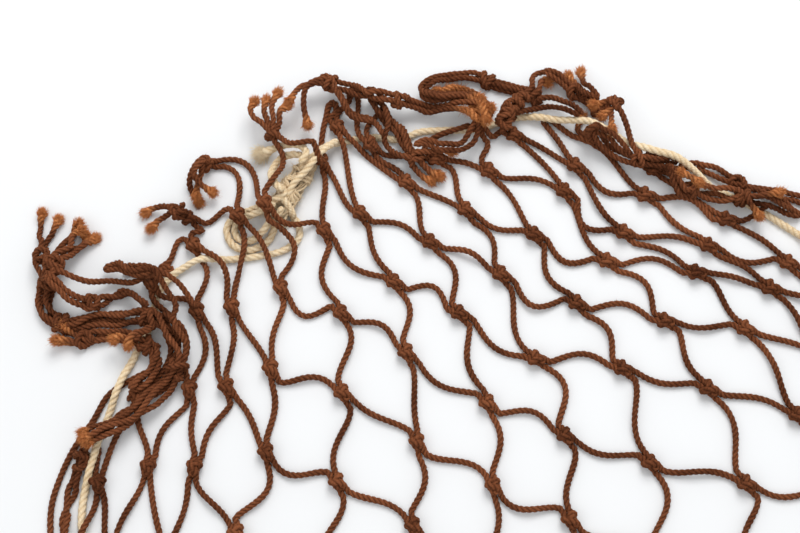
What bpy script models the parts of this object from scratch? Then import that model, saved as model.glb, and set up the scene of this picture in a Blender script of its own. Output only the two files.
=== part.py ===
"""Cast net: a round, hand-knotted diamond net that lies flat, its margin threaded on a rope.

Each row of netting is a twine that zigzags between two levels of knots, netted in up to three
lengths. At a knot it either hangs below as a bight or passes over the bight of the row above.
The rope is then laid over the rows, and the gathered margin twines and their cut tails over
the rope.
Plan positions are millimetres, +X right and +Y away, from the middle of the netting, and
ORIGIN is the middle of the whole object's outline, where the model's own origin lies.
"""

import math

import bpy
from mathutils import Matrix, Vector
from mathutils.geometry import interpolate_bezier

MM = 0.001
ORIGIN = Vector((-7.3, 5.8, 0.0))
TWINE = 3.0  # netting twine diameter, mm
ROPE = 3.5  # margin rope diameter, mm
GAP = 0.5  # clearance where one cord lies on another, mm
BIGHT = 2.6  # how far a bight reaches past the middle of its knot, mm
LEG = 5.6  # distance from a knot's middle to where its bars leave it, mm
SPREAD = 3.4  # half the distance between the two legs of a bight, mm
TAIL = 9.0  # how far a row's cut end reaches past the rope, mm
KNOTS_PER_LENGTH = 8  # about how many knots one length of netting twine ties
STUB = 1.0  # how far a length of twine reaches past its last knot's leg, mm
STEEPEST = 0.55  # steepest climb of a cord that is laid over another
KNOT_SIZE = (21.0, 12.0, 11.0)  # rope knot, mm
KNOT_PLACE = (-94.0, 146.0)
KNOT_TURN = math.radians(60)
KNOT_ROUNDING = 3.0

# The knots of the netting, level by level. Knot i of level s hangs between knots i - 1 and i
# of level s - 1. Each level gives the number of its first knot, then the places of its knots.
LEVELS = {
    -4: (-4, [(-157, 103), (-146, 129), (-138, 158), (-105, 172), (-75, 191), (-64, 198)]),
    -3: (-4, [(-163, 95), (-143, 115), (-121, 129), (-107, 133), (-80, 160), (-72, 179),
              (-55, 169)]),
    -2: (-4, [(-152, 68), (-140, 81), (-123, 83), (-99, 93), (-78, 123), (-60, 132),
              (-37, 149), (-22, 162), (0, 178)]),
    -1: (-4, [(-166, 38), (-142, 42), (-124, 43), (-103, 52), (-69, 80), (-43, 96),
              (-25, 117), (-7, 134), (5, 155), (18, 175), (36, 183)]),
    0: (-4, [(-183, -4), (-160, 4), (-138, 4), (-104, 11), (-68, 40), (-37, 60), (-11, 80),
             (10, 100), (27, 121), (43, 144), (49, 158), (56, 173)]),
    1: (-3, [(-174, -38), (-148, -38), (-117, -27), (-70, -3), (-32, 16), (2, 35), (26, 57),
             (47, 85), (63, 107), (72, 122), (84, 142), (89, 156)]),
    2: (-2, [(-156, -72), (-126, -67), (-76, -45), (-34, -24), (4, -5), (39, 19), (68, 52),
             (90, 76), (107, 101), (114, 115), (124, 129)]),
    3: (-1, [(-130, -105), (-83, -86), (-38, -66), (2, -47), (40, -21), (79, 6), (109, 42),
             (129, 72), (143, 93), (153, 106)]),
    4: (0, [(-90, -128), (-42, -107), (0, -88), (40, -64), (80, -38), (124, -4), (151, 29),
            (164, 60), (171, 81)]),
    5: (1, [(-50, -147), (-3, -128), (39, -107), (81, -81), (124, -48), (163, -12),
            (180, 22), (185, 48)]),
    6: (2, [(-10, -166), (36, -148), (80, -123), (123, -91), (163, -54), (186, -16)]),
    7: (3, [(28, -180), (74, -160), (117, -129), (155, -92), (183, -52)]),
    8: (4, [(54, -197), (108, -173), (149, -139), (182, -92)]),
}
FIRST_ROW, LAST_ROW = -4, 7

ROPE_ROUTE = [
    (-90, 153), (-84, 161), (-73, 170), (-55, 174), (-40, 173), (-30, 177), (-19, 178),
    (1, 179), (19, 185), (32, 184), (53, 179), (63, 174), (76, 168), (88, 162), (98, 159),
    (108, 153), (118, 146), (135, 138), (152, 127), (166, 116), (178, 102), (187, 82),
    (192, 60), (195, 38), (197, 15), (197, -10), (194, -35), (189, -60), (181, -84),
    (169, -107), (154, -128), (136, -147), (115, -163), (92, -177), (66, -188), (38, -194),
    (10, -194), (-20, -188), (-48, -177), (-75, -163), (-100, -147), (-122, -131),
    (-142, -113), (-158, -93), (-171, -71), (-182, -50), (-189, -30), (-190, -12),
    (-186, 8), (-178, 37), (-168, 62), (-162, 76), (-160, 90), (-152, 100), (-140, 107),
    (-125, 108), (-109, 110), (-98, 113), (-91, 119), (-91, 126), (-95, 132),
]
ROPE_BIGHTS = {
    "rope_bight_low": [(-100, 138), (-110, 135), (-121, 132), (-127, 125), (-124, 116),
                       (-115, 113), (-106, 118), (-102, 127)],
    "rope_bight_high": [(-95, 161), (-102, 159), (-105, 151), (-102, 144)],
    "rope_free_end": [(-92, 165), (-101, 166), (-112, 164)],
}

# Gathered margin twines and their cut tails: how many twines lie side by side, and the route.
GATHERS = {
    "gather_left": (4, [(-215, 92), (-216, 84), (-212, 77), (-203, 74), (-190, 77),
                        (-176, 77), (-163, 76), (-152, 72), (-146, 63), (-148, 52),
                        (-156, 43), (-167, 33), (-180, 24), (-192, 17)]),
    "gather_left_inner": (3, [(-210, 69), (-198, 66), (-186, 68), (-174, 68), (-163, 63),
                              (-158, 55), (-163, 46), (-171, 38)]),
    "tassel_left_pair": (2, [(-216, 132), (-218, 120), (-218, 108), (-215, 98)]),
    "tassel_left_four": (4, [(-196, 124), (-203, 115), (-209, 104), (-212, 97)]),
    "strand_left_long": (1, [(-206, 98), (-194, 94), (-182, 96), (-172, 94)]),
    "strand_left_pair": (2, [(-208, 91), (-200, 85), (-189, 84), (-181, 88), (-173, 89),
                             (-166, 84)]),
    "hank_left": (3, [(-187, 102), (-178, 102), (-170, 99)]),
    "tassel_left_inner": (2, [(-166, 67), (-171, 65), (-177, 60)]),
    "strand_low_left": (1, [(-182, 38), (-188, 26), (-196, 13), (-202, -2), (-205, -17),
                            (-203, -36), (-197, -56), (-190, -70)]),
    "strand_low_left_inner": (2, [(-190, 12), (-193, 2), (-196, -8), (-198, -20),
                                  (-197, -34), (-192, -46)]),
    "tail_top_left": (2, [(-168, 128), (-160, 132), (-152, 131)]),
    "tassel_hook": (3, [(-139, 159), (-143, 151), (-144, 143), (-141, 136)]),
    "tassel_fan_left": (2, [(-107, 176), (-112, 182), (-114, 190)]),
    "tassel_fan_right": (2, [(-104, 177), (-105, 185), (-104, 194)]),
    "gather_over_rope": (3, [(-46, 182), (-42, 178), (-38, 172), (-35, 165), (-31, 158),
                             (-25, 154), (-17, 151)]),
    "loop_over_knot": (2, [(-27, 167), (-20, 165), (-12, 165), (-6, 168), (-3, 174)]),
    "gather_top_left": (3, [(-87, 177), (-90, 187), (-88, 197), (-80, 201), (-68, 200),
                            (-55, 194), (-40, 190), (-24, 188), (-9, 186), (7, 180)]),
    "tail_top_left_short": (1, [(-91, 198), (-97, 193), (-99, 187)]),
    "gather_top_loop": (3, [(26, 198), (12, 203), (-3, 208), (-17, 207), (-26, 202),
                            (-28, 196), (-20, 192), (-8, 193), (4, 190)]),
    "tail_top_loop": (2, [(-22, 199), (-12, 199), (-2, 197)]),
    "tassel_top_hook": (2, [(22, 192), (29, 199), (31, 206), (37, 209), (40, 203)]),
    "gather_right": (4, [(43, 205), (53, 197), (62, 189), (67, 179), (67, 170)]),
    "tail_fork": (2, [(50, 212), (53, 204), (57, 197)]),
    "tail_cross": (2, [(74, 189), (65, 186), (57, 181)]),
    "strand_right": (1, [(71, 185), (75, 176), (77, 167)]),
    "gather_right_low": (3, [(62, 170), (75, 162), (88, 158), (99, 157)]),
    "strand_right_outer": (2, [(102, 161), (113, 160), (123, 156), (133, 150), (148, 144),
                               (163, 140), (176, 133), (186, 122)]),
    "gather_right_outer": (3, [(106, 144), (121, 141), (134, 139), (148, 137), (162, 131)]),
    "tail_right_low": (1, [(134, 136), (138, 131), (141, 127)]),
}

KNOTS = {}
laid = []  # centre points and radii, mm, of every cord laid so far


def clear_scene():
    for obj in list(bpy.data.objects):
        bpy.data.objects.remove(obj)


def material(name, colour, roughness):
    made = bpy.data.materials.new(name)
    made.use_nodes = True
    shader = made.node_tree.nodes["Principled BSDF"]
    shader.inputs["Base Color"].default_value = (*colour, 1)
    shader.inputs["Roughness"].default_value = roughness
    shader.inputs["Metallic"].default_value = 0
    return made


def resampled(points, spacing):
    """The same path with points evenly spaced along it, ends kept."""
    lengths = [(b - a).length for a, b in zip(points, points[1:])]
    count = max(2, round(sum(lengths) / spacing))
    found, start, k = [points[0]], 0.0, 0
    for step in range(1, count):
        goal = sum(lengths) * step / count
        while start + lengths[k] < goal:
            start += lengths[k]
            k += 1
        found.append(points[k].lerp(points[k + 1], (goal - start) / lengths[k]))
    return found + [points[-1]]


def smooth(route, spacing):
    """A smooth curve through the route's points, evenly sampled."""
    route = [Vector(point).to_3d() for point in route]
    ahead = [route[0] * 2 - route[1]] + route + [route[-1] * 2 - route[-2]]
    points = [route[0]]
    for before, start, end, after in zip(ahead, ahead[1:], ahead[2:], ahead[3:]):
        pull_out, pull_in = (end - before) / 6, (after - start) / 6
        points += interpolate_bezier(start, start + pull_out, end - pull_in, end, 12)[1:]
    return resampled(points, spacing)


def lay_down(route, radius, spacing):
    """Lets a cord down on what lies there already, with no climb steeper than STEEPEST."""
    fine = smooth(route, 1.5)
    needed = []
    for point in fine:
        height = radius
        for other, other_radius in laid:
            reach = radius + other_radius + GAP
            apart = math.hypot(other.x - point.x, other.y - point.y)
            if apart < reach:
                height = max(height, other.z + math.sqrt(reach**2 - apart**2))
        needed.append(height)
    eased = [
        max(high - STEEPEST * 1.5 * abs(k - n) for k, high in enumerate(needed))
        for n in range(len(fine))
    ]
    points = smooth(route, spacing)
    for n, point in enumerate(points):
        middle = round(n * (len(fine) - 1) / (len(points) - 1))
        reach = math.ceil((len(fine) - 1) / (len(points) - 1))
        point.z = max(eased[max(0, middle - reach) : middle + reach + 1])
    return points


def tube(name, points, radius, look, collection):
    """A round cord with flat ends along the points."""
    curve = bpy.data.curves.new(name, "CURVE")
    curve.dimensions = "3D"
    curve.bevel_depth = radius * MM
    curve.bevel_resolution = 1
    curve.use_fill_caps = True
    spline = curve.splines.new("POLY")
    spline.points.add(len(points) - 1)
    for place, point in zip(spline.points, points):
        place.co = (*((point - ORIGIN) * MM), 1)
    curve.materials.append(look)
    collection.objects.link(bpy.data.objects.new(name, curve))
    for start, end in zip(points, points[1:]):
        pieces = max(1, round((end - start).length / 1.5))
        for n in range(pieces):
            laid.append((start.lerp(end, n / pieces), radius))
    laid.append((points[-1], radius))


def place_knots():
    for level, (first, places) in LEVELS.items():
        for n, place in enumerate(places):
            KNOTS[first + n, level] = Vector((*place, 0))


def down_at(knot, level):
    """The direction from the level above to the level below at a knot."""
    above = [KNOTS[key] for key in ((knot - 1, level - 1), (knot, level - 1)) if key in KNOTS]
    below = [KNOTS[key] for key in ((knot, level + 1), (knot + 1, level + 1)) if key in KNOTS]
    here = KNOTS[knot, level]
    top = sum(above, Vector()) / len(above) if above else here
    bottom = sum(below, Vector()) / len(below) if below else here
    return (bottom - top).normalized()


def row_knots(row):
    """The knots of a row from left to right, as far as its zigzag goes unbroken."""
    across = {2 * knot - level: (knot, level) for knot, level in KNOTS if level in (row, row + 1)}
    place = min(across)
    while place + 1 not in across:
        place += 2
    found = []
    while place in across:
        found.append(across[place])
        place += 1
    return found


def cut_end(leg):
    """Where a twine that leaves its last knot at this leg ends, just past the rope."""
    out = leg.to_2d()
    rope = min((Vector(point) for point in ROPE_ROUTE), key=lambda point: (point - out).length)
    if rope.length < out.length + ROPE:
        return (out + out.normalized() * TAIL).to_3d()
    return (rope + (rope - out).normalized() * TAIL).to_3d()


def row_points(row):
    """The centre line of a row's twine, cut ends included."""
    points = []
    low, high = TWINE / 2, TWINE * 1.5 + GAP
    for knot, level in row_knots(row):
        here = KNOTS[knot, level]
        down = down_at(knot, level)
        along = Vector((-down.y, down.x, 0))
        side, lift = (1, high) if level == row else (-1, low)
        up = Vector((0, 0, lift))
        points += [
            here + down * side * LEG - along * SPREAD + up,
            here - down * side * BIGHT + up,
            here + down * side * LEG + along * SPREAD + up,
        ]
    start = cut_end(points[0])
    end = cut_end(points[-1])
    start.z = end.z = low
    return [start, *points, end]


def row_lengths(row):
    """The row's centre line in as many lengths of twine as it takes, each cut past a knot."""
    points = row_points(row)
    knots = (len(points) - 2) // 3
    count = max(1, round(knots / KNOTS_PER_LENGTH))
    lengths, first = [], 0
    for n in range(1, count):
        leg = 3 * round(knots * n / count)
        ahead = (points[leg + 1] - points[leg]).normalized()
        lengths.append(points[first : leg + 1] + [points[leg] + ahead * STUB])
        points[leg] = points[leg] + ahead * (STUB + GAP)
        first = leg
    return lengths + [points[first:]]


def rope_knot(look, collection):
    """The block that the rope's big knot fills, flat where it rests."""
    bpy.ops.mesh.primitive_cube_add(size=1)
    knot = bpy.context.object
    knot.name = "rope_knot"
    knot.data.transform(Matrix.Diagonal(Vector(KNOT_SIZE) * MM).to_4x4())
    knot.location = (Vector((*KNOT_PLACE, KNOT_SIZE[2] / 2)) - ORIGIN) * MM
    knot.rotation_euler.z = KNOT_TURN
    rounding = knot.modifiers.new("rounding", "BEVEL")
    rounding.width = KNOT_ROUNDING * MM
    rounding.segments = 3
    knot.data.materials.append(look)
    for other in knot.users_collection:
        other.objects.unlink(knot)
    collection.objects.link(knot)
    along = Vector((math.cos(KNOT_TURN), math.sin(KNOT_TURN), 0))
    girth = KNOT_SIZE[1] / 2 + KNOT_ROUNDING / 2
    middle = Vector((*KNOT_PLACE, KNOT_SIZE[2] - girth + KNOT_ROUNDING / 3))
    for n in range(-5, 6):
        laid.append((middle + along * n * 1.5, girth))


def build():
    clear_scene()
    collection = bpy.data.collections.new("cast_net")
    bpy.context.scene.collection.children.link(collection)
    twine = material("tanned_cotton_twine", (0.105, 0.030, 0.012), 0.85)
    rope = material("natural_cotton_rope", (0.74, 0.60, 0.37), 0.8)
    place_knots()
    for row in range(FIRST_ROW, LAST_ROW + 1):
        name = f"mesh_row_{row - FIRST_ROW + 1:02d}"
        lengths = row_lengths(row)
        for letter, points in zip("abc", lengths):
            piece = name if len(lengths) == 1 else f"{name}_{letter}"
            tube(piece, points, TWINE / 2, twine, collection)
    rope_knot(rope, collection)
    tube("margin_rope", lay_down(ROPE_ROUTE, ROPE / 2, 13), ROPE / 2, rope, collection)
    for name, route in ROPE_BIGHTS.items():
        tube(name, lay_down(route, ROPE / 2, 7), ROPE / 2, rope, collection)
    for name, (count, route) in GATHERS.items():
        radius = TWINE / 2 * math.sqrt(count * 1.25 if count > 1 else 1)
        tube(name, lay_down(route, radius, 8), radius, twine, collection)


build()
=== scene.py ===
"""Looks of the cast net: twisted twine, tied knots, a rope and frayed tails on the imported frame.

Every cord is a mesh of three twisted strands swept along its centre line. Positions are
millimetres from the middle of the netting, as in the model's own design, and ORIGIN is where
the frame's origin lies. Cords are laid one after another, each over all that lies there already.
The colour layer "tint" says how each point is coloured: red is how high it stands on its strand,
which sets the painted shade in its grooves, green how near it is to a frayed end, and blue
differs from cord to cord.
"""

import math

import bpy
import numpy as np
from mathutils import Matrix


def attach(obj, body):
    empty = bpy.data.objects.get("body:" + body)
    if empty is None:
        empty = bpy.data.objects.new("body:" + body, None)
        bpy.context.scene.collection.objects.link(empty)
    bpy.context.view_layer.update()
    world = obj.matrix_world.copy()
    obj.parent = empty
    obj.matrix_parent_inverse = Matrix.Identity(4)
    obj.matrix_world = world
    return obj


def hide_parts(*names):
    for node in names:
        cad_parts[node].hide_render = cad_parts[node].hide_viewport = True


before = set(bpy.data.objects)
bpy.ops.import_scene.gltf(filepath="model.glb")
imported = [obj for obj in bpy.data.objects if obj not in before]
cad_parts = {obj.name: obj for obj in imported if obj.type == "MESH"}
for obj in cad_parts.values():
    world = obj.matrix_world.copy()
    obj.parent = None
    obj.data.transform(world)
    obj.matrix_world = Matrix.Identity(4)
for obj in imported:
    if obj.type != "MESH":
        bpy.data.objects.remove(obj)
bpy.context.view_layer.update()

MM = 0.001
ORIGIN = np.array([-7.3, 5.8, 0.0])
TWINE = 3.0  # netting twine diameter, mm
ROPE = 3.5  # margin rope diameter, mm
PLUMP = 1.1  # a soft cord's outer width over its diameter
TWINE_LAY = 8.0  # length of one turn of the twine's strands, mm
ROPE_LAY = 11.0  # length of one turn of the rope's strands, mm
ROPE_LOOK = {"sides": 24, "depth": 0.6}  # the rope's strands: finer, and with shallower grooves
TWINE_FUZZ = {"spacing": 0.9, "length": 1.0, "thickness": 0.09}  # loose fibres, mm
ROPE_FUZZ = {"spacing": 0.4, "length": 1.6, "thickness": 0.1}
STRAND_OFFSET, STRAND_RADIUS = 0.42, 0.58  # of each of a cord's three strands, in cord radii
CLEAR = 0.15  # gap where one cord lies on another, mm
TAIL = 9.0  # how far a row's cut end reaches past the rope, mm
TIP = 8.0  # how far the orange of a frayed end reaches, mm
LONG_TIP = 18.0  # a tip longer than this is teased out into fibres, mm
STEEPEST = 0.55  # slope at which a cord climbs over what lies there
STEEPEST_NETTING = 0.7  # slope at which the netting climbs over the rope
ROUNDED = 3.0  # reach over which a climb is rounded off, mm
SINKS_FROM = 12.0  # height above which a cord presses into the heap beneath it, mm
SINKS_TO = 0.45  # share of the height above that which is left
NEAR_ROPE = 5.5  # netting nearer to the rope than this crosses it, mm
FINE = 1.0  # spacing of a cord's rings, mm
KNOTS_PER_LENGTH = 8  # about how many knots one length of netting twine ties
FIRST_ROW, LAST_ROW = -4, 7
ENDS = ("start", "end")
ROPE_KNOT_PLACE = (-94.0, 146.0)
ROPE_KNOT_TURN = math.radians(60)
ROPE_KNOT_AXIS = np.array([math.cos(ROPE_KNOT_TURN), math.sin(ROPE_KNOT_TURN), 0.0])
ROPE_KNOT_STRANDS = 34

# The knots of the netting, level by level: the first knot's number, then the knots' places.
LEVELS = {
    -4: (-4, [(-157, 103), (-146, 129), (-138, 158), (-105, 172), (-75, 191), (-64, 198)]),
    -3: (-4, [
        (-163, 95), (-143, 115), (-121, 129), (-107, 133), (-80, 160), (-72, 179), (-55, 169),
    ]),
    -2: (-4, [
        (-152, 68), (-140, 81), (-123, 83), (-99, 93), (-78, 123), (-60, 132), (-37, 149),
        (-22, 162), (0, 178),
    ]),
    -1: (-4, [
        (-166, 38), (-142, 42), (-124, 43), (-103, 52), (-69, 80), (-43, 96), (-25, 117),
        (-7, 134), (5, 155), (18, 175), (36, 183),
    ]),
    0: (-4, [
        (-183, -4), (-160, 4), (-138, 4), (-104, 11), (-68, 40), (-37, 60), (-11, 80), (10, 100),
        (27, 121), (43, 144), (49, 158), (56, 173),
    ]),
    1: (-3, [
        (-174, -38), (-148, -38), (-117, -27), (-70, -3), (-32, 16), (2, 35), (26, 57), (47, 85),
        (63, 107), (72, 122), (84, 142), (89, 156),
    ]),
    2: (-2, [
        (-156, -72), (-126, -67), (-76, -45), (-34, -24), (4, -5), (39, 19), (68, 52), (90, 76),
        (107, 101), (114, 115), (124, 129),
    ]),
    3: (-1, [
        (-130, -105), (-83, -86), (-38, -66), (2, -47), (40, -21), (79, 6), (109, 42), (129, 72),
        (143, 93), (153, 106),
    ]),
    4: (0, [
        (-90, -128), (-42, -107), (0, -88), (40, -64), (80, -38), (124, -4), (151, 29),
        (164, 60), (171, 81),
    ]),
    5: (1, [
        (-50, -147), (-3, -128), (39, -107), (81, -81), (124, -48), (163, -12), (180, 22),
        (185, 48),
    ]),
    6: (2, [(-10, -166), (36, -148), (80, -123), (123, -91), (163, -54), (186, -16)]),
    7: (3, [(28, -180), (74, -160), (117, -129), (155, -92), (183, -52)]),
    8: (4, [(54, -197), (108, -173), (149, -139), (182, -92)]),
}

# A netting knot is a sheet bend. Both twines' routes through it are in twine diameters: to the
# right, up towards the row above, and above the floor. BIGHT is the upper row's loop, and BEND
# is the lower row's twine, up through the loop, round behind its legs and under itself. PASS is
# a twine that turns without a knot, and TURN_AT_EDGE the last row's turn below its knots.
BIGHT = [
    (-0.62, 2.3, 0.55), (-0.5, 1.7, 0.75), (-0.48, 1.0, 1.0), (-0.52, 0.3, 1.2),
    (-0.48, -0.4, 1.25), (-0.3, -0.95, 1.2), (0.0, -1.15, 1.15), (0.3, -0.95, 1.2),
    (0.48, -0.4, 1.25), (0.52, 0.3, 1.2), (0.5, 1.0, 1.0), (0.54, 1.7, 0.75),
    (0.66, 2.3, 0.55),
]
BEND = [
    (-0.34, -2.6, 0.55), (-0.32, -1.9, 0.5), (-0.24, -1.2, 0.5), (-0.08, -0.6, 0.8),
    (0.0, -0.1, 1.5), (0.12, 0.35, 2.05), (0.42, 0.6, 2.0), (0.72, 0.62, 1.6),
    (0.82, 0.6, 1.0), (0.55, 0.62, 0.5), (0.0, 0.62, 0.42), (-0.55, 0.6, 0.5),
    (-0.84, 0.5, 1.0), (-0.8, 0.32, 1.6), (-0.5, 0.08, 2.0), (-0.05, -0.2, 1.98),
    (0.36, -0.55, 1.85), (0.6, -1.0, 1.3), (0.72, -1.6, 0.75), (0.92, -2.3, 0.52),
]
PASS = [(-0.75, -0.6, 0.55), (-0.65, 0.4, 0.55), (0.0, 1.1, 0.55), (0.65, 0.4, 0.55),
        (0.75, -0.6, 0.55)]
TURN_AT_EDGE = [(-1.1, 2.5, 0.55), (-0.75, 1.4, 0.55), (0.0, 0.8, 0.55), (0.75, 1.4, 0.55),
                (1.1, 2.5, 0.55)]

ROPE_ROUTE = [
    (-90, 153), (-84, 161), (-73, 170), (-55, 174), (-40, 173), (-30, 177), (-19, 178),
    (1, 179), (19, 185), (32, 184), (53, 179), (63, 174), (76, 168), (88, 162), (98, 159),
    (108, 153), (118, 146), (135, 138), (152, 127), (166, 116), (178, 102), (187, 82),
    (192, 60), (195, 38), (197, 15), (197, -10), (194, -35), (189, -60), (181, -84),
    (169, -107), (154, -128), (136, -147), (115, -163), (92, -177), (66, -188), (38, -194),
    (10, -194), (-20, -188), (-48, -177), (-75, -163), (-100, -147), (-122, -131),
    (-142, -113), (-158, -93), (-171, -71), (-182, -50), (-189, -30), (-190, -12),
    (-186, 8), (-178, 37), (-168, 62), (-162, 76), (-160, 90), (-152, 100), (-140, 107),
    (-125, 108), (-109, 110), (-98, 113), (-91, 119), (-91, 126), (-95, 132),
]
ROPE_BIGHTS = {
    "rope_bight_low": [(-100, 138), (-110, 135), (-121, 132), (-127, 125), (-124, 116),
                       (-115, 113), (-106, 118), (-102, 127)],
    "rope_bight_low_inner": [(-102, 134), (-110, 131), (-118, 129), (-123, 125), (-121, 119),
                             (-114, 118), (-107, 123), (-103, 130)],
    "rope_bight_high": [(-95, 161), (-102, 159), (-105, 151), (-102, 144)],
    "rope_free_end": [(-92, 165), (-101, 166), (-110, 164)],
}

# How the rope's two ends lie on top of its knot, heights included.
KNOT_LEADS = [
    [(-72, 171, 5.0), (-75, 167, 9.5), (-79, 162, 13.5), (-83, 157, 13.8), (-88, 151, 11.8),
     (-93, 146, 10.2), (-96, 141, 8.0), (-99, 138, 5.5)],
    [(-93, 129, 3.0), (-95, 133, 6.5), (-98, 137, 9.0), (-100, 141, 9.6), (-99, 146, 8.0)],
]

# The turns round the rope's knot: how far along the knot each lies and how it slants, mm.
KNOT_COILS = [(-5.0, 3.0), (-3.4, 3.0), (-1.8, 2.6), (2.6, -2.6), (4.2, -3.0), (7.5, 1.5)]

# Where the netting lies over the rope, as the middle and radius of a circle. Elsewhere the rope
# lies over the netting.
NET_OVER_ROPE = [
    ((-38, 172), 39), ((10, 182), 13), ((72, 170), 10), ((145, 132), 14), ((-114, 121), 24),
    ((-100, 158), 16), ((-157, 84), 12), ((-186, -20), 18),
]

# Gathered margin twines and tails, in the order in which they are laid: how many lie side by
# side, which end is frayed, where along it a twine is knotted round it as a share, the route.
GATHERS = {
    "strand_low_left_inner": (2, "end", (0.25,), [
        (-190, 12), (-193, 2), (-196, -8), (-198, -20), (-197, -34), (-192, -46),
    ]),
    "gather_left": (4, "end", (0.01, 0.19, 0.45, 0.66), [
        (-215, 92), (-216, 84), (-212, 77), (-203, 74), (-190, 77), (-176, 77), (-163, 76),
        (-152, 72), (-146, 63), (-147, 52), (-154, 42), (-165, 31), (-178, 21), (-191, 15),
    ]),
    "gather_left_inner": (3, "start", (0.2, 0.62), [
        (-210, 69), (-198, 66), (-186, 68), (-174, 68), (-163, 63), (-158, 55), (-163, 46),
        (-171, 38),
    ]),
    "tassel_left_pair": (2, "start", (0.62,), [
        (-216, 132), (-218, 120), (-218, 108), (-215, 98),
    ]),
    "tassel_left_four": (4, "start", (0.7,), [(-196, 124), (-203, 115), (-209, 104), (-212, 97)]),
    "strand_left_long": (1, "", (), [(-206, 98), (-194, 94), (-182, 96), (-172, 94)]),
    "strand_left_pair": (2, "", (0.45,), [
        (-208, 91), (-200, 85), (-189, 84), (-181, 88), (-173, 89), (-166, 84),
    ]),
    "hank_left": (3, "", (), [(-187, 102), (-178, 102), (-170, 99)]),
    "tassel_left_inner": (2, "end", (), [(-166, 67), (-171, 65), (-177, 60)]),
    "strand_low_left": (1, "end", (), [
        (-182, 38), (-188, 26), (-196, 13), (-202, -2), (-205, -17), (-203, -36), (-197, -56),
        (-190, -70),
    ]),
    "tail_top_left": (2, "start", (0.95,), [(-168, 128), (-160, 132), (-152, 131)]),
    "tassel_hook": (2, "end", (), [(-139, 159), (-143, 151), (-144, 143), (-141, 136)]),
    "tassel_fan_left": (2, "end", (), [(-107, 176), (-112, 182), (-114, 190)]),
    "tassel_fan_right": (2, "end", (), [(-104, 177), (-105, 185), (-104, 194)]),
    "gather_over_rope": (3, "end", (0.7,), [
        (-46, 182), (-42, 178), (-38, 172), (-35, 165), (-31, 158), (-25, 154), (-17, 151),
    ]),
    "loop_over_knot": (2, "", (), [(-27, 167), (-20, 165), (-12, 165), (-6, 168), (-3, 174)]),
    "tail_top_left_short": (1, "end", (), [(-89, 199), (-94, 194), (-97, 188)]),
    "tail_top_loop": (2, "start", (), [(-22, 199), (-12, 199), (-2, 197)]),
    "gather_top_left": (3, "end", (0.12, 0.5), [
        (-87, 199), (-80, 201), (-68, 200), (-55, 194), (-40, 190), (-24, 188), (-9, 186),
        (7, 180),
    ]),
    "gather_top_loop": (3, "end", (0.02, 0.3), [
        (26, 198), (12, 203), (-3, 208), (-17, 207), (-26, 202), (-28, 196), (-20, 192),
        (-8, 193), (4, 190),
    ]),
    "tassel_top_hook": (2, "end", (0.08, 0.24, 0.4), [
        (22, 192), (29, 199), (31, 206), (37, 209), (40, 203),
    ]),
    "gather_right": (3, "", (0.5, 0.9), [(43, 205), (53, 197), (60, 191), (67, 185)]),
    "tail_fork": (2, "start", (), [(50, 212), (53, 204), (57, 197)]),
    "tail_cross": (2, "end", (0.1,), [(74, 189), (65, 186), (57, 181)]),
    "strand_right": (1, "", (), [(71, 185), (75, 176), (77, 167)]),
    "gather_right_low": (3, "", (0.55,), [(62, 170), (75, 162), (88, 158), (99, 157)]),
    "strand_right_outer": (2, "end", (0.33,), [
        (102, 158), (113, 157), (123, 153), (133, 148), (148, 143), (163, 140), (176, 133),
        (186, 122),
    ]),
    "gather_right_outer": (3, "", (0.3, 0.6), [
        (106, 144), (121, 141), (134, 139), (148, 137), (162, 131),
    ]),
    "tail_right_low": (1, "end", (), [(134, 136), (138, 131), (141, 127)]),
}

# How a gather, bight or rope's end goes on past its solid's two ends, to join its neighbours.
REACHES = {
    "gather_left": ([(-213, 100)], []),
    "tassel_left_pair": ([], [(-213, 93)]),
    "tassel_left_four": ([], [(-214, 91)]),
    "strand_left_long": ([(-213, 101)], [(-165, 96)]),
    "strand_left_pair": ([(-213, 97)], [(-161, 79)]),
    "hank_left": ([], [(-161, 98)]),
    "tassel_left_inner": ([(-160, 70)], []),
    "strand_low_left": ([(-160, 52), (-168, 48), (-175, 44)], []),
    "strand_low_left_inner": ([(-182, 22)], []),
    "tail_top_left": ([], [(-145, 131)]),
    "gather_over_rope": ([(-56, 196), (-52, 191)], []),
    "loop_over_knot": ([(-33, 165)], [(0, 180)]),
    "gather_top_loop": ([(34, 194)], []),
    "tail_top_loop": ([(-25, 199)], [(4, 191), (7, 184)]),
    "tassel_top_hook": ([(12, 174), (13, 180), (16, 186)], []),
    "tail_fork": ([], [(61, 190)]),
    "strand_right": ([(66, 190)], [(80, 160)]),
    "gather_right_low": ([(60, 176)], [(105, 161)]),
    "gather_right_outer": ([(95, 155), (98, 147), (102, 142)], []),
    "tassel_hook": ([(-136, 157)], []),
    "gather_right": ([(34, 208)], []),
    "tail_top_left_short": ([(-84, 200)], []),
    "rope_free_end": ([(-90, 154), (-87, 160)], []),
    "rope_bight_high": ([(-88, 159)], [(-98, 140)]),
    "rope_bight_low": ([(-97, 142)], [(-99, 134)]),
    "tail_right_low": ([(133, 141)], []),
}

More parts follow.
